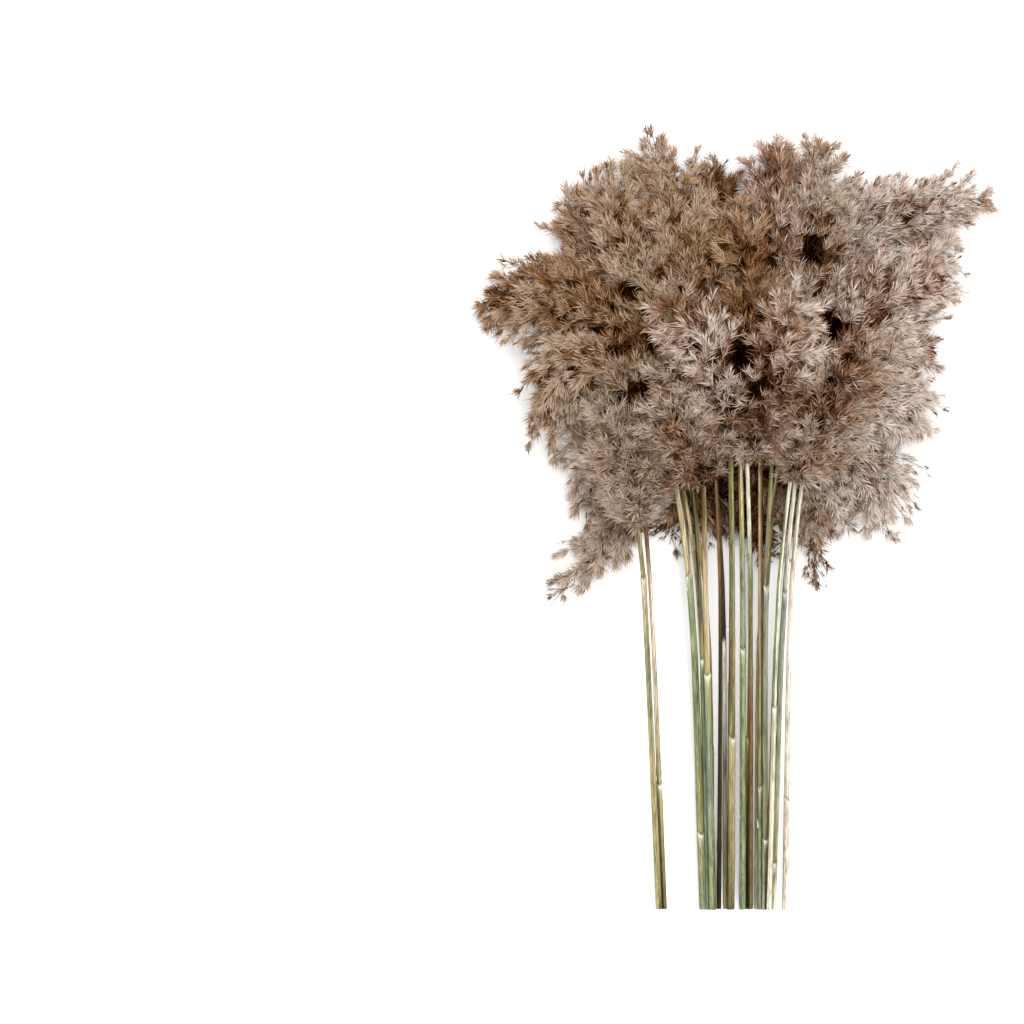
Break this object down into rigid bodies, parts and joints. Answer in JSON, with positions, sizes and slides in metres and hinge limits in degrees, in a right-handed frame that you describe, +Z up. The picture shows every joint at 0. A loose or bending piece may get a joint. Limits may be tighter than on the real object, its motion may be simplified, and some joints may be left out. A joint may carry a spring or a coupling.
{
  "type": "bunch of dried reeds",
  "caption": "Loose bunch of dried common reeds lying down: thin bent stems cut flush at one end, fluffy nodding plumes fanning out at the other.",
  "frame": {"origin": "middle of the bunch's box, on the surface it lies on", "axes": "+Z up from the surface, +Y along the bunch from the cut ends of the stems to the tips of the plumes, +X across it"},
  "size_m": [0.396, 0.6, 0.1311],
  "materials": {
    "plume_brown": "dry brown florets, matt",
    "plume_lilac": "dry florets under pale pinkish grey silky hairs, matt",
    "plume_tan": "dry tan florets with pale silky hairs, matt",
    "plume_taupe": "dry taupe florets with greyish hairs, matt",
    "stem_cream": "pale cream stalk, satin",
    "stem_olive": "olive stalk turning brown, satin, with fine lengthwise grain",
    "stem_sage": "dull sage green stalk and leaf sheath, satin, with fine lengthwise grain",
    "stem_straw": "dry straw yellow stalk, satin, with fine lengthwise grain",
    "stem_umber": "dark brown weathered stalk, satin"
  },
  "bodies": {
    "root": {"stem_back_left_low": "stem_olive", "plume_back_left_low": "plume_taupe", "stem_back_left_side": "stem_straw", "plume_back_left_side": "plume_lilac", "stem_back_hang_left": "stem_umber", "plume_back_hang_left": "plume_taupe", "stem_back_hang_middle": "stem_olive", "plume_back_hang_middle": "plume_brown", "stem_back_hang_right": "stem_sage", "plume_back_hang_right": "plume_taupe", "stem_back_right_low": "stem_straw", "plume_back_right_low": "plume_lilac", "stem_back_right_side": "stem_sage", "plume_back_right_side": "plume_lilac", "stem_back_right_high": "stem_straw", "plume_back_right_high": "plume_lilac", "stem_back_top": "stem_olive", "plume_back_top": "plume_brown", "stem_back_left_high": "stem_straw", "plume_back_left_high": "plume_tan", "stem_left_sweep": "stem_sage", "plume_left_sweep": "plume_tan", "stem_left_high": "stem_olive", "plume_left_high": "plume_tan", "stem_top_left": "stem_sage", "plume_top_left": "plume_tan", "stem_top_middle": "stem_straw", "plume_top_middle": "plume_lilac", "stem_top_right": "stem_olive", "plume_top_right": "plume_taupe", "stem_right_high": "stem_cream", "plume_right_high": "plume_lilac", "stem_right_low": "stem_cream", "plume_right_low": "plume_lilac", "stem_left_nod": "stem_umber", "plume_left_nod": "plume_brown", "stem_front_left": "stem_olive", "plume_front_left": "plume_taupe", "stem_front_middle_left": "stem_umber", "plume_front_middle_left": "plume_taupe", "stem_front_high_left": "stem_olive", "plume_front_high_left": "plume_lilac", "stem_front_high": "stem_sage", "plume_front_high": "plume_tan", "stem_front_middle": "stem_cream", "plume_front_middle": "plume_lilac", "stem_front_right": "stem_cream", "plume_front_right": "plume_taupe"}
  },
  "joints": []
}
